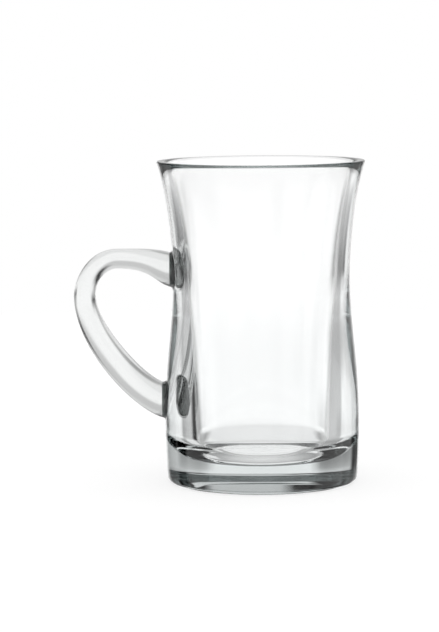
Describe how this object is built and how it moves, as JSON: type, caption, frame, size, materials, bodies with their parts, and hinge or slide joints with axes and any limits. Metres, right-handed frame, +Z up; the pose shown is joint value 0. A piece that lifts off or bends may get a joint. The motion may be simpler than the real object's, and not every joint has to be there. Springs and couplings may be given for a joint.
{
  "type": "glass mug",
  "caption": "Tall thick-walled clear glass mug with a flared lip, a narrow waist, a heavy base and an ear-shaped loop handle.",
  "frame": {"origin": "centre of the ring that the mug stands on, on the body's axis, at the table's surface", "axes": "+Z up along the body's axis; +X away from the handle, which stands out along -X; +Y across the handle's loop, away from the picture's viewer"},
  "size_m": [0.1123, 0.08, 0.124],
  "materials": {
    "clear_glass": "clear, fire polished"
  },
  "bodies": {
    "root": {"body": "clear_glass", "handle": "clear_glass", "upper_weld": "clear_glass", "lower_weld": "clear_glass"}
  },
  "joints": []
}
